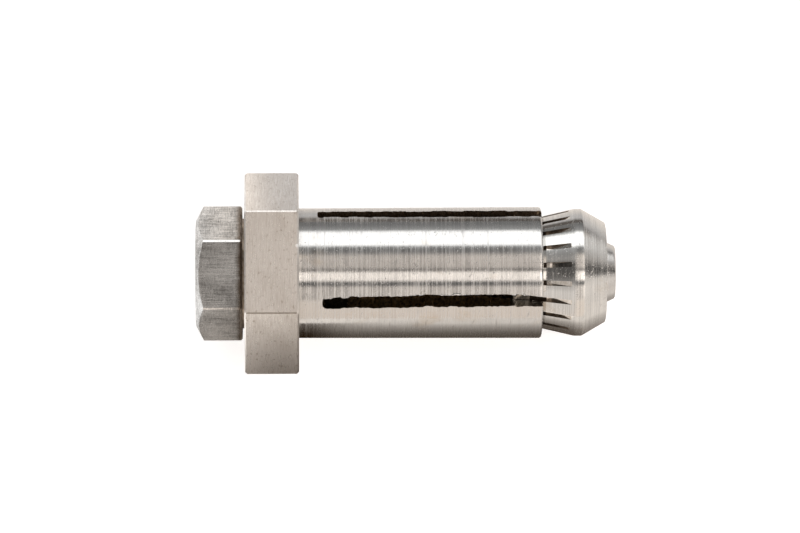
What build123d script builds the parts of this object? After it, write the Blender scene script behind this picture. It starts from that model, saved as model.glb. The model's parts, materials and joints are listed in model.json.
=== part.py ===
from build123d import *

import math
import os

# Hollow section fixing in stainless steel: a hexagon head bolt runs through a slotted sleeve with a
# one-piece hexagon collar and screws into a grooved cone nut that sits in the sleeve's mouth.
# Millimetres. Heights are along the fixing's own axis, from the head towards the cone, and are
# counted from the collar's bearing face. Turns are in degrees about that axis, from the collar
# flat that lies uppermost.

# Collar
collar_across_flats = 23.7
collar_height = 7.27
collar_edge = 0.2
collar_corner_cut = 0.35

# Sleeve
sleeve_diameter = 17.55
sleeve_length = 32.6
sleeve_bore = 10.8
sleeve_rim = 0.35
sleeve_entry = 0.5
mouth_diameter = 15.24

# Slots that part the sleeve into legs
slot_count = 4
slot_width = 1.6
slot_start = 2.9
slot_turn = 34.3

# Cone nut
cone_diameter = 17.12
cone_length = 12.6
cone_taper_length = 8.4
cone_land = 1.0
cone_half_angle = 13.2
cone_end_diameter = 13.4
cone_front_blend = 2.0
cone_rear_blend = 0.35
cone_end_rim = 0.12

# Grooves along the cone's taper
groove_count = 20
groove_width = 0.7
groove_stop = 0.37
groove_fall = 13.7
groove_root_diameter = 14.2
groove_turn = -0.1

# Bolt
bolt_diameter = 9.96
bolt_length = 49.82
bolt_fillet = 0.35
point_diameter = 7.04
point_angle = 24.5
point_rim = 0.13

# Bolt head
head_across_flats = 15.8
head_height = 6.55
head_top_diameter = 14.45
head_top_angle = 28.5
head_turn = 8.6
washer_diameter = 14.8
washer_height = 0.3

# Fits
thread_clearance = 0.05
seat_clearance = 0.1

# Construction allowance, by which a cutter stands clear of what it cuts
overrun = 2.0

# Sizes that follow
sides = 6
flat_turn = 180 / sides
sleeve_radius = sleeve_diameter / 2
cone_radius = cone_diameter / 2
cone_slope = math.tan(math.radians(cone_half_angle))
cone_tip_radius = cone_radius - cone_taper_length * cone_slope
mouth_depth = (mouth_diameter - sleeve_bore) / 2 / cone_slope
seat_radius = mouth_diameter / 2 - seat_clearance
cone_base = sleeve_length - (seat_radius - cone_tip_radius) / cone_slope
blend_length = cone_front_blend * math.tan(math.radians(cone_half_angle / 2))
groove_length = cone_taper_length - blend_length - groove_stop
bolt_tip = bolt_length - collar_height

# Lying at rest, the collar's lower flat and the cone's rear shoulder touch the ground
rest_rise = collar_across_flats / 2 - cone_radius
rest_run = cone_base + cone_taper_length + cone_land + collar_edge
rest_tilt = math.atan2(rest_rise, rest_run)
LYING = Plane(
    origin=(0, 0, 0),
    x_dir=(math.sin(rest_tilt), 0, math.cos(rest_tilt)),
    z_dir=(math.cos(rest_tilt), 0, -math.sin(rest_tilt)),
)


def turned(*points):
    """A solid turned about the axis from an outline of (radius, height) points."""
    return revolve(Plane.XZ * make_face(Polyline(*points, close=True)), Axis.Z)


def hexagon_bar(across_flats, low, high):
    """A hexagon bar between two heights, with one flat facing along X."""
    outline = RegularPolygon(across_flats / 2, sides, major_radius=False, rotation=flat_turn)
    return extrude(Plane.XY.offset(low) * outline, high - low)


def corner_radius(across_flats):
    """From a hexagon's centre to its corner."""
    return across_flats / 2 / math.cos(math.pi / sides)


def ring_edges(solid, radius, height):
    """The circular edges of a turned solid at one radius and height."""
    rings = solid.edges().filter_by(GeomType.CIRCLE)
    level = rings.filter_by(lambda edge: math.isclose(edge.center().Z, height, abs_tol=1e-4))
    return level.filter_by(lambda edge: math.isclose(edge.radius, radius, abs_tol=1e-4))


def lie_down(solid, turn=0):
    """Turns a solid about the fixing's axis and lays it on the ground as the fixing rests."""
    return LYING.location * (Rot(0, 0, turn) * solid)


def make_collar():
    """The hexagon collar, its corners trimmed by turning and its end edges broken."""
    bar = hexagon_bar(collar_across_flats, -collar_height, 0)
    ends = bar.faces().filter_by(Axis.Z)
    bar = chamfer(ends.edges(), collar_edge)
    corner = corner_radius(collar_across_flats)
    trimmed = corner - collar_corner_cut
    blank = turned(
        (0, -collar_height),
        (trimmed, -collar_height),
        (corner, collar_corner_cut - collar_height),
        (corner, -collar_corner_cut),
        (trimmed, 0),
        (0, 0),
    )
    return bar & blank


def make_slots():
    """The cutters of the slots, round at the closed end and open at the sleeve's mouth."""
    length = sleeve_length + overrun - slot_start
    middle = slot_start + length / 2
    outline = Plane.YZ * (Pos(0, middle) * SlotOverall(length, slot_width, rotation=90))
    cutter = extrude(outline, sleeve_diameter)
    slots = [Rot(0, 0, slot_turn + i * 360 / slot_count) * cutter for i in range(slot_count)]
    return slots


def make_sleeve():
    """The slotted sleeve and its collar, one piece of turned hexagon bar."""
    tube = turned(
        (0, -collar_height / 2),
        (sleeve_radius, -collar_height / 2),
        (sleeve_radius, sleeve_length),
        (0, sleeve_length),
    )
    tube = fillet(ring_edges(tube, sleeve_radius, sleeve_length), sleeve_rim)
    # The seam of the turned wall lies in the middle of a leg, clear of the slots
    tube = Rot(0, 0, slot_turn + 180 / slot_count) * tube
    bore_radius = sleeve_bore / 2
    mouth_overrun = mouth_diameter / 2 + overrun * cone_slope
    bore = turned(
        (0, -collar_height - overrun),
        (bore_radius + sleeve_entry + overrun, -collar_height - overrun),
        (bore_radius, sleeve_entry - collar_height),
        (bore_radius, sleeve_length - mouth_depth),
        (mouth_overrun, sleeve_length + overrun),
        (0, sleeve_length + overrun),
    )
    return make_collar() + tube - bore - make_slots()


def cone_surface(height):
    """Radius of the cone's taper at a height above its narrow end."""
    return cone_tip_radius + height * cone_slope


def make_groove():
    """The cutter of one groove, whose floor meets the taper just before the land."""
    fall = math.tan(math.radians(cone_half_angle + groove_fall))
    root_radius = groove_root_diameter / 2
    surface = cone_surface(groove_length)
    knee = groove_length - (surface - root_radius) / fall
    profile = Polyline(
        (root_radius, -overrun),
        (root_radius, knee),
        (surface + overrun * fall, groove_length + overrun),
        (cone_diameter, groove_length + overrun),
        (cone_diameter, -overrun),
        close=True,
    )
    return extrude(Plane.XZ * make_face(profile), groove_width / 2, both=True)


def make_cone():
    """The cone nut, its narrow end at height 0."""
    shoulder = cone_taper_length + cone_land
    blank = turned(
        (0, 0),
        (cone_tip_radius, 0),
        (cone_radius, cone_taper_length),
        (cone_radius, shoulder),
        (cone_end_diameter / 2, cone_length),
        (0, cone_length),
    )
    blank = fillet(ring_edges(blank, cone_radius, cone_taper_length), cone_front_blend)
    blank = fillet(ring_edges(blank, cone_radius, shoulder), cone_rear_blend)
    blank = chamfer(ring_edges(blank, cone_end_diameter / 2, cone_length), cone_end_rim)
    bore_radius = bolt_diameter / 2 + thread_clearance
    bore = turned(
        (0, -overrun),
        (bore_radius, -overrun),
        (bore_radius, cone_length + overrun),
        (0, cone_length + overrun),
    )
    groove = make_groove()
    grooves = [Rot(0, 0, i * 360 / groove_count) * groove for i in range(groove_count)]
    return blank - bore - grooves


def make_head():
    """The bolt head with its turned top and washer face."""
    seat = -collar_height
    top = seat - head_height
    corner = corner_radius(head_across_flats)
    top_radius = head_top_diameter / 2
    top_fall = (corner + overrun - top_radius) * math.tan(math.radians(head_top_angle))
    blank = turned(
        (0, top),
        (top_radius, top),
        (corner + overrun, top + top_fall),
        (corner + overrun, seat),
        (0, seat),
    )
    washer = Pos(0, 0, seat - washer_height / 2) * Cylinder(washer_diameter / 2, washer_height)
    return (hexagon_bar(head_across_flats, top, seat - washer_height) & blank) + washer


def make_bolt():
    """The bolt, whose shank is drawn plain at the thread's outer diameter."""
    seat = -collar_height
    radius = bolt_diameter / 2
    point_radius = point_diameter / 2
    point_start = bolt_tip - (radius - point_radius) / math.tan(math.radians(point_angle))
    shank = turned(
        (0, seat),
        (radius, seat),
        (radius, point_start),
        (point_radius, bolt_tip),
        (0, bolt_tip),
    )
    shank = chamfer(ring_edges(shank, point_radius, bolt_tip), point_rim)
    bolt = make_head() + shank
    return fillet(ring_edges(bolt, radius, seat), bolt_fillet)


nodes = {
    "hex_bolt": lie_down(make_bolt(), head_turn),
    "slotted_sleeve": lie_down(make_sleeve()),
    "cone_nut": lie_down(Pos(0, 0, cone_base) * make_cone(), groove_turn),
}

os.makedirs("parts", exist_ok=True)
for name, solid in nodes.items():
    export_step(solid, f"parts/{name}.step")
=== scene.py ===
import json
import math

import bmesh
import bpy
from mathutils import Matrix, Vector, noise


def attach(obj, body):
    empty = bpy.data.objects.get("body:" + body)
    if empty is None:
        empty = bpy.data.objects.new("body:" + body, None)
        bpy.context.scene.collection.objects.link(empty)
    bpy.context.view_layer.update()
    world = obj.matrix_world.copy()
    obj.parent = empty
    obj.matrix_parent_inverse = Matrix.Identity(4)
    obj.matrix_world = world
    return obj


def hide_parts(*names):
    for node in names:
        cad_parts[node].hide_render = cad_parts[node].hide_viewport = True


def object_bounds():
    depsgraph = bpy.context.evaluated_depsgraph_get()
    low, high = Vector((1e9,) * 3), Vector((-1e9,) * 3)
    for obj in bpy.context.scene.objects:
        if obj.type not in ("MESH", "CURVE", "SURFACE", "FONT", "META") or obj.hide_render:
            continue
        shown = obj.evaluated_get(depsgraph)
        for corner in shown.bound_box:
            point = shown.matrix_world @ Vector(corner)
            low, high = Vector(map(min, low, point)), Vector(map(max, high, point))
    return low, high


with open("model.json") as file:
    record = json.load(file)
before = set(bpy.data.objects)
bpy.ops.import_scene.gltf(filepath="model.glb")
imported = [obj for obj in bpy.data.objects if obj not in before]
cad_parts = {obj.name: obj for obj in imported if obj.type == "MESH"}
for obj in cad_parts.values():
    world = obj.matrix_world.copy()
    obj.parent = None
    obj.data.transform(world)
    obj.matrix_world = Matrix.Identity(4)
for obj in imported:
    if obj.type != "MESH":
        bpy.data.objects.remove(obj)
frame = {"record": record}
cad_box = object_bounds()

# The fixing's own frame, in millimetres. Z runs along its axis from the head to the cone, X is the
# normal of the collar flat that lies uppermost, and height 0 is the collar's bearing face. Turns
# are in degrees about the axis, from that flat.
sleeve_mount = next(mount for mount in frame["record"]["mounts"] if mount["name"] == "sleeve")
AXIS = Vector(sleeve_mount["axis"]).normalized()
ACROSS = Vector((0, -1, 0))
UP = ACROSS.cross(AXIS).normalized()
LIE_DOWN = Matrix((UP, ACROSS, AXIS)).transposed().to_4x4() @ Matrix.Scale(0.001, 4)
ORIGIN = (0, 0, 0)
GROUND = cad_box[0][2]

# Sizes in millimetres and angles in degrees, as in the part's source
collar_across_flats, collar_height = 23.7, 7.27
sleeve_length, sleeve_rim, sleeve_entry = 32.6, 0.35, 0.5
bore_radius, mouth_end_radius = 5.4, 7.62
slot_width, slot_turn = 1.6, 34.3
head_across_flats, head_height, head_top_angle, head_turn = 15.8, 6.55, 28.5, 8.6
washer_radius, washer_height = 7.4, 0.3
bolt_end, point_radius, point_angle = 42.55, 3.52, 24.5
cone_start, cone_length = 28.6341, 12.6
cone_radius, cone_tip_radius, cone_half_angle = 8.56, 6.59, 13.2
cone_taper, cone_land = 8.4, 1.0
cone_front_blend, cone_rear_blend, cone_rear_angle = 2.0, 0.35, 30
groove_count, groove_width, groove_turn, groove_length = 20, 0.7, -0.1, 7.8
groove_root_radius, groove_fall = 7.1, 13.7

# The thread, whose crests and roots are flats
pitch = 1.5
thread_root_radius, thread_root_width, thread_flank_angle = 4.08, 0.3, 30

# Flat facets round the turned shapes and round each turn of thread
turned_columns, head_columns, thread_columns = 120, 96, 48

# Allowances in millimetres: for a corner that lies on a cutting plane, for corners that are welded
# together, and for places that count as the same
snap, weld, near = 1e-4, 0.001, 0.01

# A face looks in a direction if the cosine between that and its normal is more than this
aligned = 0.99


# ---------------------------------------------------------------- shaping

def slope(angle):
    return math.tan(math.radians(angle))


def around(turn, distance=1.0, height=0.0):
    """A place at a turn about the axis."""
    angle = math.radians(turn)
    return Vector((distance * math.cos(angle), distance * math.sin(angle), height))


def radius_of(place):
    return math.hypot(place.x, place.y)


def set_radius(vertex, radius):
    scale = radius / max(radius_of(vertex.co), 1e-9)
    vertex.co.x *= scale
    vertex.co.y *= scale


def everything(bm):
    return bm.verts[:] + bm.edges[:] + bm.faces[:]


def unique(items):
    """The items without repeats and in order, so that every run gives the same mesh."""
    return list(dict.fromkeys(items))


def corners_of(items):
    """The corners of some faces or edges."""
    return unique(corner for item in items for corner in item.verts)


def part_of(faces):
    """The faces with their edges and corners, as the cutting operators want them."""
    return faces + unique(edge for face in faces for edge in face.edges) + corners_of(faces)


def turned(outline, columns, start, closed=True):
    """A shell turned about the axis from an outline of (radius, height) points."""
    bm = bmesh.new()
    corners = [bm.verts.new(around(start, *point)) for point in outline]
    edges = [bm.edges.new(pair) for pair in zip(corners, corners[1:])]
    if closed:
        edges.append(bm.edges.new((corners[-1], corners[0])))
    bmesh.ops.spin(
        bm, geom=corners + edges, cent=ORIGIN, axis=(0, 0, 1),
        angle=math.tau, steps=columns, use_merge=True,
    )
    bmesh.ops.remove_doubles(bm, verts=bm.verts, dist=weld)
    return bm


def arc(centre, radius, start, end, steps):
    """Outline points round a blend, by angle in degrees from the radial direction."""
    angles = [math.radians(start + (end - start) * i / steps) for i in range(steps + 1)]
    return [(centre[0] + radius * math.cos(a), centre[1] + radius * math.sin(a)) for a in angles]


def cut(bm, geometry, place, normal, clear_outer=False):
    """Parts the faces that a plane goes through."""
    return bmesh.ops.bisect_plane(
        bm, geom=geometry, dist=snap, plane_co=place, plane_no=normal, clear_outer=clear_outer
    )


def cut_off(bm, geometry, place, normal):
    """Saws off what lies beyond a plane and closes the cut."""
    sawn = cut(bm, geometry, place, normal, clear_outer=True)
    rim = [edge for edge in sawn["geom_cut"] if isinstance(edge, bmesh.types.BMEdge)]
    bmesh.ops.edgeloop_fill(bm, edges=rim)


def level_cut(bm, height):
    """A ring of edges at a height."""
    cut(bm, everything(bm), (0, 0, height), (0, 0, 1))


def mill_hexagon(bm, across_flats, turn, low, high, corner_width, end_widths):
    """Mills six flats on a turned blank, then breaks their corners and end edges."""
    flat = across_flats / 2
    corner = flat / math.cos(math.pi / 6) - corner_width / 2 * math.tan(math.pi / 6)

    def blank():
        return part_of([
            face for face in bm.faces if low - near < face.calc_center_median().z < high + near
        ])

    flats = [turn + 60 * i for i in range(6)]
    for facing in flats:
        cut_off(bm, blank(), around(facing, flat), around(facing))
    for facing in flats:
        cut_off(bm, blank(), around(facing + 30, corner), around(facing + 30))
    for facing in flats:
        for height, side, width in ((low, -1, end_widths[0]), (high, 1, end_widths[1])):
            if width:
                cut_off(bm, blank(), around(facing, flat - width, height), around(facing, 1, side))


def screw_thread(crest, root, low, high, gap=0.0):
    """A right-hand thread of 60 degree form between two heights, open at both ends. Gap is the play
    along each flank, and both threads of a pair start at the same place, so they mesh."""

    def flank(radius):
        return (radius - thread_root_radius) * slope(thread_flank_angle)

    start = (math.floor(low / pitch) - 1) * pitch
    outline = [
        (root, start - flank(root) + gap),
        (root, start + thread_root_width + flank(root) - gap),
        (crest, start + thread_root_width + flank(crest) - gap),
        (crest, start + pitch - flank(crest) + gap),
        (root, start + pitch - flank(root) + gap),
    ]
    bm = bmesh.new()
    corners = [bm.verts.new((radius, 0, height)) for radius, height in outline]
    edges = [bm.edges.new(pair) for pair in zip(corners, corners[1:])]
    bmesh.ops.spin(
        bm, geom=corners + edges, cent=ORIGIN, axis=(0, 0, 1),
        dvec=(0, 0, pitch / thread_columns), angle=math.tau, steps=thread_columns,
    )
    turns = 1
    while start + (turns - 1) * pitch < high:
        copy = bmesh.ops.duplicate(bm, geom=everything(bm))
        new = [item for item in copy["geom"] if isinstance(item, bmesh.types.BMVert)]
        bmesh.ops.translate(bm, verts=new, vec=(0, 0, turns * pitch))
        turns *= 2
    bmesh.ops.remove_doubles(bm, verts=bm.verts, dist=weld)
    for height, side in ((low, -1), (high, 1)):
        cut(bm, everything(bm), (0, 0, height), (0, 0, side), clear_outer=True)
    return bm


def join(bm, other):
    """Adds another shell to this one."""
    mesh = bpy.data.meshes.new("joined")
    other.to_mesh(mesh)
    other.free()
    bm.from_mesh(mesh)
    bpy.data.meshes.remove(mesh)


def open_rim(bm, height):
    """The open edges at a height."""
    return [
        edge for edge in bm.edges
        if edge.is_boundary and all(abs(corner.co.z - height) < near for corner in edge.verts)
    ]


def shade_smooth(bm, sharp_angle=28):
    """Smooth shading that stops at sharp edges and where one finish meets another."""
    for face in bm.faces:
        face.smooth = True
    for edge in bm.edges:
        if len(edge.link_faces) == 2:
            one, other = edge.link_faces
            flush = edge.calc_face_angle(0) < math.radians(sharp_angle)
            edge.smooth = flush and one.material_index == other.material_index


def unwrap_round_axis(bm, length=60, inward=0.8):
    """U runs along the axis and inwards, V round it, so that a finish follows the lathe."""
    uv = bm.loops.layers.uv.new("lathe")
    for face in bm.faces:
        middle = face.calc_center_median()
        facing = math.atan2(middle.y, middle.x)
        for loop in face.loops:
            place = loop.vert.co
            turn = facing
            if radius_of(place) > snap:
                turn += math.remainder(math.atan2(place.y, place.x) - facing, math.tau)
            loop[uv].uv = ((place.z - inward * radius_of(place)) / length, turn / math.tau)


def finish_piece(bm, name, body, node, materials):
    """Shades and lays down a finished shape, and lets it stand for its CAD node."""
    bmesh.ops.recalc_face_normals(bm, faces=bm.faces)
    shade_smooth(bm)
    unwrap_round_axis(bm)
    bmesh.ops.transform(bm, matrix=LIE_DOWN, verts=bm.verts)
    open_count = sum(not edge.is_manifold for edge in bm.edges)
    mesh = bpy.data.meshes.new(name)
    bm.to_mesh(mesh)
    bm.free()
    for material in materials:
        mesh.materials.append(material)
    piece = bpy.data.objects.new(name, mesh)
    bpy.context.scene.collection.objects.link(piece)
    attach(piece, body)
    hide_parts(node)
    faces = len(mesh.polygons)
    triangles = sum(len(polygon.vertices) - 2 for polygon in mesh.polygons)
    print(f"piece {name} {faces} faces, {triangles} triangles, {open_count} open edges")


# ---------------------------------------------------------------- shader helpers

def linear(colour):
    """An sRGB hex colour as linear values."""
    parts = [int(colour[i:i + 2], 16) / 255 for i in (0, 2, 4)]
    return [p / 12.92 if p <= 0.04045 else ((p + 0.055) / 1.055) ** 2.4 for p in parts] + [1]


def add(tree, kind, settings=None, **links):
    """Adds a node. Settings are its properties; links are values or other nodes' sockets, by the
    input's name, or by its number after a letter."""
    new = tree.nodes.new(kind)
    for key, value in (settings or {}).items():
        setattr(new, key, value)
    for key, value in links.items():
        name = int(key[1:]) if key[1:].isdigit() else key.replace("_", " ")
        socket = new.inputs[name]
        if isinstance(value, bpy.types.NodeSocket):
            tree.links.new(value, socket)
        else:
            socket.default_value = value
    return new


def maths(tree, operation, a, b=0.0):
    return add(tree, "ShaderNodeMath", {"operation": operation}, i0=a, i1=b).outputs[0]


def product(tree, first, *others):
    for other in others:
        first = maths(tree, "MULTIPLY", first, other)
    return first


def total(tree, first, *others):
    for other in others:
        first = maths(tree, "ADD", first, other)
    return first


def largest(tree, first, *others):
    for other in others:
        first = maths(tree, "MAXIMUM", first, other)
    return first


def spread(tree, value, low, high, to_low, to_high):
    """Maps a range to another, and holds it at its ends."""
    return add(
        tree, "ShaderNodeMapRange", Value=value,
        From_Min=low, From_Max=high, To_Min=to_low, To_Max=to_high,
    ).outputs[0]


def mix(tree, amount, first, second):
    """A colour that goes over into another; each is a hex colour, linear values or a socket."""
    first, second = (linear(end) if isinstance(end, str) else end for end in (first, second))
    mixed = add(tree, "ShaderNodeMix", {"data_type": "RGBA"}, Factor=amount, i6=first, i7=second)
    return mixed.outputs[2]


def place_on_piece(tree, slant=0.0):
    """Object coordinates in millimetres in the fixing's own frame, turned by a slant about X."""
    frame_turn = Matrix.Rotation(math.radians(slant), 3, "X") @ Matrix((UP, ACROSS, AXIS))
    return add(
        tree, "ShaderNodeMapping", Vector=add(tree, "ShaderNodeTexCoord").outputs["Object"],
        Rotation=tuple(frame_turn.to_euler()), Scale=(1000, 1000, 1000),
    ).outputs[0]


def grain(tree, place, across, along, detail=2.0, rough=0.5):
    """Noise with so many features per millimetre across and along the fixing's axis."""
    stretched = add(tree, "ShaderNodeMapping", Vector=place, Scale=(across, across, along))
    return add(
        tree, "ShaderNodeTexNoise", Vector=stretched.outputs[0],
        Scale=1.0, Detail=detail, Roughness=rough,
    ).outputs[0]


def metal(name, base, anisotropic, lines_turn=0.0):
    """A bare metal surface whose finish follows the lathe's direction, or lies across it. Base is
    its plain colour, for a viewer that doesn't work out the pattern over it."""
    material = bpy.data.materials.new(name)
    material.use_nodes = True
    tree = material.node_tree
    tree.nodes.clear()
    shader = add(tree, "ShaderNodeBsdfPrincipled", Metallic=1.0, Anisotropic=anisotropic)
    shader.inputs["Anisotropic Rotation"].default_value = lines_turn
    shader.inputs["Base Color"].default_value = linear(base)
    tangent = add(tree, "ShaderNodeTangent", {"direction_type": "UV_MAP", "uv_map": "lathe"})
    tree.links.new(tangent.outputs[0], shader.inputs["Tangent"])
    add(tree, "ShaderNodeOutputMaterial", Surface=shader.outputs[0])
    return material, tree, shader


def relief(tree, shader, height, depth):
    """Bump, its depth in millimetres."""
    bump = add(tree, "ShaderNodeBump", Height=height, Distance=depth / 1000, Strength=1.0)
    tree.links.new(bump.outputs[0], shader.inputs["Normal"])


# ---------------------------------------------------------------- materials

def turned_stainless(name, rings=1.0, plain="CCCBC9", smooth=0.14):
    """Austenitic stainless steel, fine turned: the tool leaves rings 0.15 to 0.4 mm apart, some of
    them rougher than others, and handling adds small bright nicks and a few light brown stains."""
    material, tree, shader = metal(name, "C9C8C6", 0.97)
    place = place_on_piece(tree)
    ring = grain(tree, place, 0.03, 3.5, detail=4.0, rough=0.8)
    patchy = grain(tree, place, 0.5, 0.5)
    speck = grain(tree, place, 3.0, 5.0, detail=1.0)
    scratch = grain(tree, place_on_piece(tree, 35.0), 0.7, 6.0, detail=1.0)
    pits = grain(tree, place, 1.2, 6.0)
    lines = spread(tree, ring, 0.48, 0.68, 0.0, 0.25 * rings)
    nicks = largest(
        tree, spread(tree, speck, 0.68, 0.74, 0.0, 1.0), spread(tree, scratch, 0.72, 0.77, 0.0, 1.0)
    )
    dull = spread(tree, patchy, 0.3, 0.7, smooth, smooth + 0.06)
    rough = total(tree, lines, dull, product(tree, nicks, 0.3))
    tree.links.new(rough, shader.inputs["Roughness"])
    shade = mix(tree, spread(tree, ring, 0.35, 0.6, 0.5, 0.0), plain, "A5A4A2")
    stain = spread(tree, grain(tree, place, 0.35, 0.2, detail=3.0), 0.6, 0.8, 0.0, 0.5)
    tree.links.new(mix(tree, stain, shade, "B7A892"), shader.inputs["Base Color"])
    relief(tree, shader, total(tree, product(tree, nicks, 0.6), product(tree, pits, 0.4)), 0.006)
    return material


def linished_stainless(name):
    """The same steel, its flats linished across the bar: fine dull lines 0.1 mm apart, a little
    slanted, over specks half a millimetre wide."""
    material, tree, shader = metal(name, "CBC6C0", 0.4)
    place = place_on_piece(tree, 1.5)
    brush = grain(tree, place, 0.45, 8.0, detail=5.0, rough=0.75)
    patchy = grain(tree, place, 0.2, 0.3)
    speck = grain(tree, place, 1.6, 2.6, detail=3.0)
    tree.links.new(spread(tree, brush, 0.3, 0.7, 0.24, 0.36), shader.inputs["Roughness"])
    shade = total(
        tree,
        spread(tree, brush, 0.35, 0.65, 0.0, 0.5),
        spread(tree, patchy, 0.45, 0.7, 0.0, 0.15),
        spread(tree, speck, 0.6, 0.72, 0.0, 0.5),
    )
    steel = mix(tree, shade, "E4E1DD", "A49A90")
    # One bright nick, half a millimetre wide, on the edge of the uppermost flat
    nick_place, nick_inner, nick_outer = (11.85, -2.2, -0.22), 0.16, 0.3
    away = add(
        tree, "ShaderNodeVectorMath", {"operation": "DISTANCE"},
        i0=place_on_piece(tree), i1=nick_place,
    ).outputs["Value"]
    nicked = mix(tree, spread(tree, away, nick_inner, nick_outer, 1.0, 0.0), steel, "FFFFFF")
    tree.links.new(nicked, shader.inputs["Base Color"])
    relief(tree, shader, brush, 0.004)
    return material


def sawn_stainless(name, base, residue_and_shade, smooth=0.28):
    """Rough cut or rolled steel: tooth marks about 0.3 mm apart, with residue left in them. Where
    it is used for painted shade, the darker colour is that shade.
    """
    material, tree, shader = metal(name, base, 0.0)
    tooth = grain(tree, place_on_piece(tree), 1.5, 3.0, detail=4.0, rough=0.7)
    tree.links.new(spread(tree, tooth, 0.3, 0.7, smooth, smooth + 0.2), shader.inputs["Roughness"])
    colour = mix(tree, spread(tree, tooth, 0.35, 0.65, 0.0, 1.0), base, residue_and_shade)
    tree.links.new(colour, shader.inputs["Base Color"])
    relief(tree, shader, tooth, 0.1 * smooth)
    return material


def drawn_stainless(name):
    """The bolt's head, upset from drawn bar: a dull skin with fine lines along the bar, 0.1 mm
    apart, crossed by the faint lines of its die."""
    material, tree, shader = metal(name, "C4C1BC", 0.85, 0.25)
    place = place_on_piece(tree)
    drawn = grain(tree, place, 8.0, 0.35, rough=0.6)
    crossing = grain(tree, place, 0.8, 8.0, rough=0.6)
    speck = grain(tree, place, 6.0, 6.0)
    patchy = grain(tree, place, 0.3, 0.25, detail=3.0)
    lines = total(tree, product(tree, drawn, 0.6), product(tree, crossing, 0.4))
    tree.links.new(spread(tree, lines, 0.35, 0.65, 0.22, 0.34), shader.inputs["Roughness"])
    shade = total(
        tree,
        spread(tree, lines, 0.4, 0.6, 0.0, 0.6),
        spread(tree, speck, 0.45, 0.7, 0.0, 0.3),
        spread(tree, patchy, 0.35, 0.65, -0.15, 0.3),
    )
    steel = mix(tree, shade, "DADAD9", "787775")
    # Painted shade darkens the last millimetre of the head, against the collar, standing for the
    # dark gap there
    unshaded_to, shaded_from = -collar_height - 0.95, -collar_height - 0.25
    height = add(tree, "ShaderNodeSeparateXYZ", Vector=place).outputs[2]
    ragged = total(tree, height, product(tree, grain(tree, place, 1.0, 0.3, detail=3.0), 0.6))
    painted_shade = mix(tree, spread(tree, ragged, unshaded_to, shaded_from, 0.0, 1.0), steel, "64584B")
    tree.links.new(painted_shade, shader.inputs["Base Color"])
    relief(tree, shader, lines, 0.0015)
    return material


# Turned surfaces: the sleeve, the bolt's point, and the cone's rear and its brighter taper
turned_steel = turned_stainless("turned_stainless_steel")
point_steel = turned_stainless("turned_stainless_steel_point", 0.6)
cone_steel = turned_stainless("turned_stainless_steel_cone", 0.5, "D8D7D4")
taper_steel = turned_stainless("turned_stainless_steel_taper", 0.3, "D8D7D4", 0.03)
# The collar's flats, and the bolt's head
linished_steel = linished_stainless("linished_stainless_steel")
drawn_steel = drawn_stainless("drawn_stainless_steel")
# Saw cuts: brown with cutting residue; dark painted shade with lighter flecks as painted glints;
# and a plainer, lighter grey, used at the slot's mouth and as a painted dark line on one collar
# corner
sawn_steel = sawn_stainless("sawn_stainless_steel", "9C8A76", "5C4A3A")
slot_shade_steel = sawn_stainless("slot_shade_stainless_steel", "9A8562", "241C14")
mouth_and_edge_line_steel = sawn_stainless("mouth_and_edge_line_stainless_steel", "ABA59D", "857F77", 0.2)
# The cone's milled grooves: their walls, and their floors, which the cutter leaves bright
groove_steel = sawn_stainless("milled_stainless_steel", "92867A", "665B4F")
groove_floor_steel = sawn_stainless("milled_stainless_steel_floor", "E6E2DC", "CCC4BA", 0.08)
# Rolled thread, painted shade on the head's faces towards the collar, and near-black painted shade
# for recesses: the first slot's end and the groove floors inside the sleeve's mouth
rolled_thread = sawn_stainless("rolled_stainless_steel", "D8CCBC", "A6967F")
gap_shade_steel = sawn_stainless("gap_shade_stainless_steel", "A3978A", "75695C")
painted_shade_steel = sawn_stainless("painted_shade_stainless_steel", "352E27", "1E1914")


# ---------------------------------------------------------------- slotted sleeve

# Where the saw stopped in each slot
slot_ends = {0: 3.1, 1: 2.9, 2: 2.9, 3: 2.5}

# How far the saw drifted off each wall of the two slots that show, as (height, first wall, second
# wall), in millimetres
slot_drifts = {
    0: (
        (3.0, 0.3, 0.18), (4.5, 0.2, 0.08), (6.8, 0.0, 0.05), (8.4, -0.1, 0.02),
        (10.0, -0.01, 0.08), (11.7, -0.02, -0.03), (13.3, -0.15, 0.06), (14.9, -0.27, -0.03),
        (16.5, -0.24, -0.12), (18.1, -0.21, -0.15), (19.8, -0.13, -0.05), (21.4, -0.3, -0.03),
        (24.6, -0.3, -0.05), (26.2, -0.44, -0.16), (27.9, -0.44, -0.1), (29.5, -0.2, -0.16),
        (31.1, -0.15, -0.15), (33.0, 0.08, -0.18),
    ),
    3: (
        (2.0, -0.15, -0.1), (8.0, -0.17, -0.12), (14.0, -0.17, -0.02), (22.0, -0.2, -0.03),
        (27.0, -0.17, 0.03), (30.0, -0.1, -0.05), (33.0, -0.1, -0.08),
    ),
}


def drift(number, height, wall):
    """How far the saw drifted off a wall of a slot at a height."""
    steps = slot_drifts.get(number, ((0.0, 0.0, 0.0), (sleeve_length, 0.0, 0.0)))
    for low, high in zip(steps, steps[1:]):
        if height <= high[0] or high is steps[-1]:
            share = min(max((height - low[0]) / (high[0] - low[0]), 0), 1)
            return low[1 + wall] + (high[1 + wall] - low[1 + wall]) * share


def sawn_waver(number, place, wall):
    """How far a place on a wall lies off its plane: the saw's drift, its wander every 2 mm, the
    ragged marks of its teeth every half millimetre, and burrs a millimetre long."""
    wander = noise.noise(Vector((place.z * 0.45, wall, 11 * number)))
    ragged = noise.noise(Vector((place.z * 1.9, radius_of(place) * 0.9, 7 * number + wall)))
    burr = noise.cell(Vector((place.z * 0.9, wall, 5 * number))) - 0.5
    return drift(number, place.z, wall) + 0.05 * wander + 0.1 * ragged + 0.12 * burr


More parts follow.
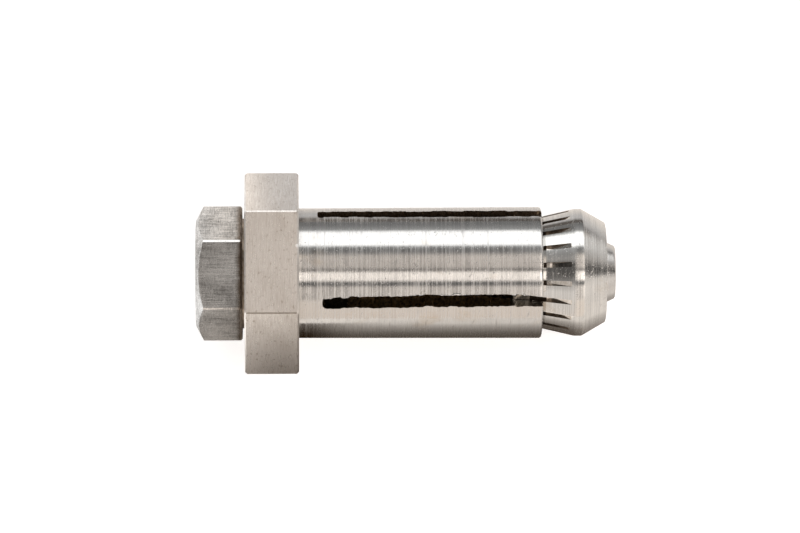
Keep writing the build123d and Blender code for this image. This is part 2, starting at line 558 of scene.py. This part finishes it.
def leg_radius(height, foot=8.73, spring=0.1):
    """The legs spring out a little towards the mouth."""
    return foot + spring * max(height, 0) / sleeve_length


def mouth_radius(height):
    """The bore, and the taper inside its mouth that the cone sits in."""
    return max(bore_radius, mouth_end_radius - (sleeve_length - height) * slope(cone_half_angle))


def turn_sleeve():
    """The turned blank with its bore, before the collar is milled and the slots are sawn."""
    levels = [0.0, 1.2] + [2.0 + 0.1 * i for i in range(21)] + [4.25 + 0.25 * i for i in range(112)]
    blank_radius, corner_cut, mouth_steps = 13.8, 0.47, (0, 0.07, 0.14, 0.21, 0.28, 0.35)
    rim_radius = leg_radius(sleeve_length) - sleeve_rim
    outline = [
        (bore_radius + sleeve_entry, -collar_height),
        (blank_radius - corner_cut, -collar_height),
        (blank_radius, corner_cut - collar_height),
        (blank_radius, -corner_cut),
        (blank_radius - corner_cut, 0),
    ]
    outline += [(leg_radius(height), height) for height in levels]
    outline += arc((rim_radius, sleeve_length - sleeve_rim), sleeve_rim, 0, 90, 5)
    outline += [(mouth_radius(sleeve_length - step), sleeve_length - step) for step in mouth_steps]
    outline += [(mouth_radius(height), height) for height in reversed(levels)]
    outline += [(bore_radius, sleeve_entry - collar_height)]
    return turned(outline, turned_columns, slot_turn + 180 / turned_columns)


def saw_slot(bm, number, end, sawn, corner_radius=0.4, mid_wall=8.1):
    """Opens one slot between its two cuts, rounds its end and gives it ragged walls."""
    half, wall_reach, mouth_margin = slot_width / 2, 0.3, 0.05
    out, side = around(slot_turn + 90 * number), around(slot_turn + 90 * number + 90)

    def in_slot(place, allowance=0.0):
        beside = abs(place.dot(side))
        return place.dot(out) > 0 and beside < half + allowance and place.z > end - allowance

    waste = [face for face in bm.faces if in_slot(face.calc_center_median())]
    bmesh.ops.delete(bm, geom=waste, context="FACES")
    edges = [
        edge for edge in bm.edges
        if edge.is_boundary and all(in_slot(corner.co, near) for corner in edge.verts)
    ]
    straight = half - corner_radius
    for corner in corners_of(edges):
        sideways, along = corner.co.dot(side), corner.co.z - end - corner_radius
        if abs(sideways) > straight and along < 0:
            reach = Vector((abs(sideways) - straight, along)).normalized() * corner_radius
            corner.co += side * (math.copysign(straight + reach.x, sideways) - sideways)
            corner.co.z = end + corner_radius + reach.y
    outside = {edge: [radius_of(corner.co) > mid_wall for corner in edge.verts] for edge in edges}
    outer = [edge for edge in edges if all(outside[edge])]
    inner = [edge for edge in edges if not any(outside[edge])]
    across = [edge for edge in edges if edge not in outer and edge not in inner]
    walls = bmesh.ops.bridge_loops(bm, edges=outer + inner)
    for face in walls["faces"]:
        face.material_index = sawn
    bridges = unique(walls["edges"] + across)
    bmesh.ops.subdivide_edges(bm, edges=bridges, cuts=3, use_grid_fill=True)
    # The walls' corners at the very mouth stay where the rim ends
    for corner in corners_of(face for face in bm.faces if face.material_index == sawn):
        if in_slot(corner.co, wall_reach) and corner.co.z < sleeve_length - mouth_margin:
            wall = 0 if corner.co.dot(side) < 0 else 1
            corner.co += side * sawn_waver(number, corner.co, wall)


def make_sleeve():
    """The slotted sleeve with its milled collar."""
    plain, linished, sawn, mouth_and_edge_line, slot_shade, painted_shade = range(6)
    bm = turn_sleeve()
    mill_hexagon(
        bm, collar_across_flats, 0, -collar_height, 0, corner_width=0.24, end_widths=(0.2, 0.22)
    )

    # The four slots' walls lie in four planes, two for each pair of opposite slots
    for turn in (slot_turn, slot_turn + 90):
        side = around(turn + 90)
        for offset in (-slot_width / 2, slot_width / 2):
            tube = [face for face in bm.faces if face.calc_center_median().z > near]
            cut(bm, part_of(tube), side * offset, side)
    for number, end in slot_ends.items():
        saw_slot(bm, number, end, sawn)

    # In the first slot the walls get near-black painted shade at its end, dark painted shade with
    # lighter flecks as painted glints further on, and a plainer, lighter grey at the mouth; one
    # corner of the collar gets that grey, duller and darker than the flats, as a painted dark line
    # along the edge
    painted_shade_to, slot_shade_to, edge_line_corner, edge_line_from = 6.5, 28.2, around(30), 13.4
    slot_out, slot_side = around(slot_turn), around(slot_turn + 90)
    bm.normal_update()
    for face in bm.faces:
        middle = face.calc_center_median()
        on_corner = middle.dot(edge_line_corner) > edge_line_from
        in_bore = radius_of(middle) < mouth_radius(middle.z) + 0.05
        in_first_slot = middle.dot(slot_out) > bore_radius - 0.2
        in_first_slot = in_first_slot and abs(middle.dot(slot_side)) < slot_width / 2 + 0.5
        if face.material_index == sawn:
            if in_first_slot:
                along_slot = slot_shade if middle.z < slot_shade_to else mouth_and_edge_line
                face.material_index = painted_shade if middle.z < painted_shade_to else along_slot
        elif in_bore:
            face.material_index = sawn
        elif middle.z < near:
            # One corner chamfer of the collar gets the grey cut finish, a painted dark line along
            # that edge
            dull = on_corner and abs(face.normal.dot(edge_line_corner)) > aligned
            face.material_index = mouth_and_edge_line if dull else linished
    finish_piece(bm, "slotted_sleeve_turned", "sleeve", "slotted_sleeve", [
        turned_steel, linished_steel, sawn_steel, mouth_and_edge_line_steel, slot_shade_steel, painted_shade_steel,
    ])


# ---------------------------------------------------------------- cone nut

def taper_radius(height):
    return cone_tip_radius + height * slope(cone_half_angle)


def groove_floor(height):
    """A groove's floor is level at first, then climbs until it meets the taper."""
    climb = (groove_length - height) * slope(cone_half_angle + groove_fall)
    return max(groove_root_radius, taper_radius(groove_length) - climb)


def turn_cone():
    """The cone's outer shell, its narrow end at height 0 and open round the thread."""
    levels = [
        0.0, 1.2, 2.2, 3.2, 4.45, 5.17, 5.23, 5.9, 6.6, 7.2, 7.6, 7.67, 7.73, 7.78, 7.8, 8.1,
    ]
    shoulder = cone_taper + cone_land
    front_height = cone_taper + cone_front_blend * slope(cone_half_angle / 2)
    rear_height = shoulder - cone_rear_blend * slope(cone_rear_angle / 2)
    front = (cone_radius - cone_front_blend, front_height)
    rear = (cone_radius - cone_rear_blend, rear_height)
    # Rings of corners divide both end faces, and the rear end's edge is broken
    outline = [(radius, 0) for radius in (5.3, 5.55, 5.8)]
    outline += [(taper_radius(height), height) for height in levels]
    outline += arc(front, cone_front_blend, -cone_half_angle, 0, 4)
    outline += arc(rear, cone_rear_blend, 0, cone_rear_angle, 4)
    outline += [(6.78, cone_length - 0.14), (6.7, cone_length - 0.04)]
    outline += [(radius, cone_length) for radius in (6.59, 6.1, 5.6)]
    return turned(outline, turned_columns, groove_turn + 180 / turned_columns, closed=False)


def mill_grooves(bm, wall, bright, painted_shade):
    """Parallel-sided grooves with round ends, which run out where the narrow end is as thin as
    their floors. The floors get near-black painted shade inside the sleeve's mouth, and are bright
    beyond it."""
    half, end_radius, step = groove_width / 2, 0.2, 360 / groove_count
    run_out, bright_from = 2.15, 4.45
    # A cut on either side of the axis serves two opposite grooves
    for i in range(groove_count // 2):
        side = around(groove_turn + step * i + 90)
        for offset in (-half, half):
            grooved = [
                face for face in bm.faces
                if run_out < face.calc_center_median().z < groove_length
            ]
            cut(bm, part_of(grooved), side * offset, side)
    for i in range(groove_count):
        out, side = around(groove_turn + step * i), around(groove_turn + step * i + 90)
        strip = []
        for face in bm.faces:
            middle = face.calc_center_median()
            beside = abs(middle.dot(side))
            if run_out < middle.z < groove_length and middle.dot(out) > 0 and beside < half:
                strip.append(face)
        for corner in corners_of(strip):
            reach = max(corner.co.z - (groove_length - end_radius), 0)
            drawn_in = end_radius - math.sqrt(max(end_radius ** 2 - reach ** 2, 0))
            corner.co -= side * corner.co.dot(side) / half * drawn_in
        sunk = bmesh.ops.extrude_face_region(bm, geom=strip)
        floor = [item for item in sunk["geom"] if isinstance(item, bmesh.types.BMVert)]
        for corner in floor:
            corner.co += out * min(groove_floor(corner.co.z) - corner.co.dot(out), 0)
        for face in unique(face for corner in floor for face in corner.link_faces):
            if not all(corner in floor for corner in face.verts):
                face.material_index = wall
            else:
                outside = face.calc_center_median().z > bright_from
                face.material_index = bright if outside else painted_shade
        left = [face for face in strip if face.is_valid]
        bmesh.ops.delete(bm, geom=left, context="FACES_ONLY")
    bmesh.ops.remove_doubles(bm, verts=bm.verts, dist=4 * weld)
    loose = [edge for edge in bm.edges if edge.is_wire]
    bmesh.ops.delete(bm, geom=loose, context="EDGES")


def make_cone():
    """The cone nut with its grooves and its thread."""
    # The last finish is near-black painted shade, for the groove floors inside the sleeve's mouth
    plain, threaded, groove_wall, groove_bright, tapered, painted_shade = range(6)
    bm = turn_cone()
    mill_grooves(bm, groove_wall, groove_bright, painted_shade)
    for face in bm.faces:
        height = face.calc_center_median().z
        if face.material_index == plain and near < height < cone_taper - 0.3:
            face.material_index = tapered
    bmesh.ops.translate(bm, verts=bm.verts, vec=(0, 0, cone_start))

    # The thread inside, countersunk at both ends
    end = cone_start + cone_length
    front_sink, rear_sink = 5.1, 5.15
    thread = screw_thread(5.03, 4.19, cone_start, end, gap=0.04)
    for height in (cone_start + 0.5, cone_start + 1.0, end - 1.0, end - 0.5):
        level_cut(thread, height)
    for corner in thread.verts:
        front, rear = front_sink - (corner.co.z - cone_start), rear_sink - (end - corner.co.z)
        set_radius(corner, max(radius_of(corner.co), front, rear))
    for face in thread.faces:
        face.material_index = threaded
    join(bm, thread)
    for height in (cone_start, end):
        bmesh.ops.triangle_fill(bm, use_beauty=True, edges=open_rim(bm, height))
    finish_piece(bm, "cone_nut_turned", "cone", "cone_nut", [
        cone_steel, rolled_thread, groove_steel, groove_floor_steel, taper_steel, painted_shade_steel,
    ])


# ---------------------------------------------------------------- bolt

def make_bolt():
    """The bolt with its milled head, its fillet under the head and its thread."""
    drawn, threaded, polished, gap_shade = range(4)
    seat = -collar_height
    top = seat - head_height
    face_height = seat - washer_height
    blank_radius, fillet_foot, neck_radius, thread_start = 9.6, 5.4, 4.5, -5.0
    head_edge, gap_shade_depth, polished_point, tip_radius = 0.3, 0.32, 1.6, 3.4
    # The top's edge is rounded over, and then falls away as a chamfer
    outline = [
        (0, top), (3.5, top), (6.98, top), (7.2, top + 0.04), (7.37, top + 0.144),
        (blank_radius, top + 0.1 + (blank_radius - 7.32) * slope(head_top_angle)),
        (blank_radius, face_height), (washer_radius, face_height), (washer_radius, seat),
        (fillet_foot, seat), (4.98, seat + 0.4), (4.6, seat + 1.2), (neck_radius, thread_start),
    ]
    bm = turned(outline, head_columns, head_turn, closed=False)
    mill_hexagon(
        bm, head_across_flats, head_turn, top, face_height - near / 2,
        corner_width=0.32, end_widths=(0, head_edge),
    )
    bmesh.ops.recalc_face_normals(bm, faces=bm.faces)
    # The shank is rolled, and what faces the collar gets painted shade, for the dark gap under the
    # head. The head's corners are polished by handling, but for one that stays dull.
    polished_corners = [around(head_turn + 30 + 60 * i) for i in range(1, 6)]
    for face in bm.faces:
        middle = face.calc_center_median()
        radius = radius_of(middle)
        faces_collar = face.normal.z > 0.5 or radius < washer_radius + near
        in_fillet = radius < 5.3 and middle.z > seat - 0.1
        if middle.z > seat + 0.05 or in_fillet:
            face.material_index = threaded
        elif middle.z > face_height - gap_shade_depth and faces_collar:
            face.material_index = gap_shade
        elif max(face.normal.dot(corner) for corner in polished_corners) > aligned:
            face.material_index = polished
        else:
            face.material_index = drawn

    # The thread fades in over its first millimetre, and ends in a turned point with a broken edge
    thread = screw_thread(4.97, thread_root_radius, thread_start, bolt_end)
    for height in (-4.5, -4.0, *(bolt_end - left for left in (3.2, 2.2, 1.1, 0.14))):
        level_cut(thread, height)
    for corner in thread.verts:
        left = bolt_end - corner.co.z
        fade = min(max(corner.co.z - thread_start, 0), 1)
        faded = neck_radius + (radius_of(corner.co) - neck_radius) * fade
        point, broken_edge = point_radius + left * slope(point_angle), tip_radius + left * 1.3
        set_radius(corner, min(faded, point, broken_edge))
    for face in thread.faces:
        on_point = face.calc_center_median().z >= bolt_end - polished_point
        face.material_index = polished if on_point else threaded
    for face in bmesh.ops.edgeloop_fill(thread, edges=open_rim(thread, bolt_end))["faces"]:
        face.material_index = polished
    join(bm, thread)
    bmesh.ops.bridge_loops(bm, edges=open_rim(bm, thread_start))
    finish_piece(bm, "hex_bolt_drawn", "bolt", "hex_bolt", [
        drawn_steel, rolled_thread, point_steel, gap_shade_steel,
    ])


# ---------------------------------------------------------------- camera

# It looks down across the lying fixing, 7.3 degrees off the uppermost flat's normal, from a little
# to the head's side
tilt, roll, yaw = math.radians(7.3), math.radians(0.19), math.radians(1.2)
TOWARDS = (UP * math.cos(tilt) + ACROSS * math.sin(tilt)).normalized()
ABOVE = TOWARDS.cross(AXIS).normalized()


def aim_camera():
    """A long lens, aimed in metres from the origin along the axis and towards the picture's top."""
    distance, lens_at_one_metre = 0.7, 333.9
    aim = AXIS * 0.013636 + ABOVE * 0.00086
    back = TOWARDS * math.cos(yaw) - AXIS * math.sin(yaw)
    right = AXIS * math.cos(yaw) + TOWARDS * math.sin(yaw)
    right = (right * math.cos(roll) - ABOVE * math.sin(roll)).normalized()
    camera = bpy.data.objects.new("camera", bpy.data.cameras.new("camera"))
    bpy.context.scene.collection.objects.link(camera)
    camera.data.sensor_width = 36
    camera.data.lens = lens_at_one_metre * distance
    camera.data.clip_start = 0.01
    turn = Matrix((right, back.cross(right), back)).transposed()
    camera.matrix_world = Matrix.Translation(aim + back * distance) @ turn.to_4x4()
    bpy.context.scene.camera = camera


# ---------------------------------------------------------------- studio

def make_floor():
    """A pale paper disc under the fixing, which keeps its shadow."""
    radius, middle = 0.16, 0.014
    bm = bmesh.new()
    bmesh.ops.create_circle(bm, cap_ends=True, radius=radius, segments=96)
    mesh = bpy.data.meshes.new("floor")
    bm.to_mesh(mesh)
    bm.free()
    floor = bpy.data.objects.new("floor", mesh)
    floor.location = (middle, 0, GROUND)
    bpy.context.scene.collection.objects.link(floor)
    mesh.materials.append(pale_paper())


def pale_paper():
    """White paper, which keeps the fixing's shadow. To metal alone it shows painted shade in front
    of the fixing, a painted cool tint beyond it and a painted glow, and to the camera's own view it
    is lightened."""
    material = bpy.data.materials.new("pale_paper")
    material.use_nodes = True
    tree = material.node_tree
    tree.nodes.clear()
    path = add(tree, "ShaderNodeLightPath")
    seen_in_metal = path.outputs["Is Glossy Ray"]
    place = add(tree, "ShaderNodeTexCoord").outputs["Object"]
    lengthwise, crosswise = add(tree, "ShaderNodeSeparateXYZ", Vector=place).outputs[:2]

    # Places on the paper are in millimetres from its middle: along runs from the head to the cone,
    # and beside runs from in front of the fixing to beyond it
    def along(low, high, first, last):
        return spread(tree, lengthwise, low / 1000, high / 1000, first, last)

    def beside(low, high, first, last):
        return spread(tree, crosswise, low / 1000, high / 1000, first, last)

    # Painted shade, seen only in metal, in front of the sleeve, the head and the collar, and far
    # beyond the fixing
    at_collar = product(tree, along(-27, -22, 0, 1), along(-14, -8, 1, 0))
    by_sleeve = product(tree, beside(-52, -12.5, 0, 0.86), along(22, 40, 1, 0))
    by_head = product(
        tree, beside(-55, -28, 0, 0.54), along(-36, -30, 0, 1), along(-27, -22, 1, 0)
    )
    by_collar = product(tree, beside(-62, -54, 0, 0.99), at_collar)
    in_front = beside(0, 12, 1, 0)
    near_shade = product(tree, largest(tree, by_sleeve, by_head, by_collar), in_front)
    shade = total(tree, near_shade, beside(42, 70, 0, 0.8))
    deep_shade = product(tree, by_collar, in_front, along(-24, -20, 0, 1))
    # Seen only in metal, the paper is painted cool grey beyond the fixing, then dark with the
    # painted shade
    colour = mix(tree, product(tree, seen_in_metal, beside(15, 30, 0, 1)), "E6E6E6", "BCC3CC")
    colour = mix(tree, product(tree, seen_in_metal, shade), colour, "54483A")
    colour = mix(tree, product(tree, seen_in_metal, deep_shade), colour, "38291A")
    paper = add(tree, "ShaderNodeBsdfDiffuse", Color=colour)

    # Painted glow, seen only in metal, standing for reflectors low down beside the head and before
    # the collar, warm but for the one at its end
    above_head = product(tree, beside(0, 10, 0, 0.32), along(-30, -20, 1, 0))
    over_head = product(tree, beside(20, 35, 0, 0.85), along(-23, -19.5, 1, 0))
    beyond_head = product(tree, beside(-1, 6, 1.2, 0.25), along(-36, -30, 1, 0))
    before_collar = product(tree, beside(-66, -58, 0.4, 0), at_collar)
    painted_glow = largest(tree, above_head, over_head, beyond_head, before_collar)
    gleam = total(tree, painted_glow, spread(tree, shade, 0, 0.75, 0.27, 0))
    warmth = product(tree, seen_in_metal, along(-34, -26, 0, 1))
    warm = mix(tree, warmth, (1, 1, 1, 1), (1.1, 0.97, 0.84, 1))
    lightened = product(tree, path.outputs["Is Camera Ray"], 0.6)
    strength = total(tree, product(tree, seen_in_metal, gleam), lightened)
    glow = add(tree, "ShaderNodeEmission", Color=warm, Strength=strength)
    both = add(tree, "ShaderNodeAddShader", i0=paper.outputs[0], i1=glow.outputs[0])
    add(tree, "ShaderNodeOutputMaterial", Surface=both.outputs[0])
    return material


# Panels as (degrees, level, warmth), by their angle round the fixing's axis from the camera towards
# the picture's top. The key panel is neutral, and the reflectors are a warm white. One ring of them
# lies on the head's side, one straight across, and one on the cone's side.
HEAD_SIDE_RING = (
    (-180, 0.35, 1), (-104, 0.5, 1), (-92, 0.85, 0.8), (-40, 0.88, 0.6), (-30, 0.68, 0.6),
    (-20, 0.4, 0.5), (-11, 0.2, 0.5), (-4, 0.13, 0.5), (12, 0.12, 0.5), (18, 0.15, 0.5),
    (26, 0.42, 0.4), (36, 0.37, 0.2), (46, 0.5, 0), (52, 1.9, 0), (76, 1.9, 0), (82, 0.5, 0),
    (88, 0.17, 0.1), (102, 0.22, 0.2), (120, 0.5, 0.5),
)
ACROSS_RING = (
    (-180, 0.35, 1), (-104, 0.5, 1), (-92, 0.98, 1.3), (-55, 1.0, 1.2), (-45, 1.6, 0.9),
    (-26, 1.9, 0.9), (-21, 0.42, 0.3), (-17, 0.44, 0.3), (-12, 3.4, 0.8), (0, 3.4, 0.8),
    (4, 0.8, 0.8), (7, 0.9, 0.8), (10, 1.75, 0.9), (30, 1.8, 0.9), (37, 0.75, 0.3),
    (47, 0.5, 0), (52, 2.1, 0), (77.5, 2.1, 0), (82.5, 0.5, 0), (96, 0.27, 0), (108, 0.27, 0),
    (120, 0.66, -0.5),
)
CONE_SIDE_RING = (
    (-180, 0.5, 1), (-92, 0.9, 0.7), (-24, 0.92, 0.7), (-20, 0.75, 0.7), (-12, 0.36, 0.5),
    (-5, 0.13, 0.4), (18, 0.09, 0.4), (26, 0.2, 0.5), (35, 0.36, 0.6), (48, 0.52, 0.5),
    (66, 0.8, 0.3), (90, 0.74, 0.4), (120, 0.55, 0.5),
)


def make_world():
    """A world of soft panels that lie along the fixing, and white to the camera."""
    world = bpy.data.worlds.new("studio")
    world.use_nodes = True
    bpy.context.scene.world = world
    tree = world.node_tree
    tree.nodes.clear()
    path = add(tree, "ShaderNodeLightPath")
    look = add(tree, "ShaderNodeTexCoord").outputs["Generated"]
    brightest = 4.0

    def part_along(direction):
        return add(
            tree, "ShaderNodeVectorMath", {"operation": "DOT_PRODUCT"},
            i0=look, i1=tuple(direction),
        ).outputs["Value"]

    # Round is the angle about the axis, and lean is the angle towards the cone, both in degrees
    angle = maths(tree, "ARCTAN2", part_along(ABOVE), part_along(TOWARDS))
    round_axis = product(tree, angle, 180 / math.pi)
    lean = product(tree, maths(tree, "ARCSINE", part_along(AXIS)), 180 / math.pi)
    place = spread(tree, round_axis, -180, 180, 0, 1)

    def ring_of(panels):
        ramp = add(tree, "ShaderNodeValToRGB", Fac=place)
        stops = ramp.color_ramp.elements
        for number, (degrees, level, warmth) in enumerate(panels):
            share = (degrees + 180) / 360
            stop = stops[0] if number == 0 else stops.new(share)
            stop.position = share
            red, green, blue = 1 + 0.1 * warmth, 1 - 0.01 * warmth, 1 - 0.1 * warmth
            stop.color = [level / brightest * part for part in (red, green, blue)] + [1]
        stops[-1].color = (0.098, 0.1, 0.104, 1)
        return ramp.outputs[0]

    def window(value, low, high, edge):
        rise = spread(tree, value, low - edge, low + edge, 0, 1)
        fall = spread(tree, value, high - edge, high + edge, 1, 0)
        return product(tree, rise, fall)

    head_side, across, cone_side = map(ring_of, (HEAD_SIDE_RING, ACROSS_RING, CONE_SIDE_RING))
    panels = mix(tree, spread(tree, lean, -18, -8, 0, 1), head_side, across)
    panels = mix(tree, spread(tree, lean, 32, 42, 0, 1), panels, cone_side)

    # Round the camera the studio is dark, the key panel ends on the head's side, and low down there
    # is a gap between the panels
    behind = product(tree, window(round_axis, -50, 46, 4), window(lean, -8, 7, 2))
    key_end = product(tree, window(round_axis, 47, 84, 2), window(lean, -95, -35, 2))
    low_gap = product(tree, window(round_axis, 3, 36, 3), window(lean, -68, -38, 3))
    ends = product(tree, largest(tree, key_end, low_gap), 0.92)
    dark = largest(tree, product(tree, behind, 0.85), ends)
    level = product(tree, maths(tree, "SUBTRACT", 1.0, dark), brightest)
    light = add(tree, "ShaderNodeBackground", Color=panels, Strength=level)
    white = add(tree, "ShaderNodeBackground", Color=(1, 1, 1, 1), Strength=1.0)
    mixed = add(
        tree, "ShaderNodeMixShader", Fac=path.outputs["Is Camera Ray"],
        i1=light.outputs[0], i2=white.outputs[0],
    )
    add(tree, "ShaderNodeOutputWorld", Surface=mixed.outputs[0])


make_sleeve()
make_cone()
make_bolt()
aim_camera()
make_floor()
make_world()
bpy.context.scene.view_settings.view_transform = "Standard"
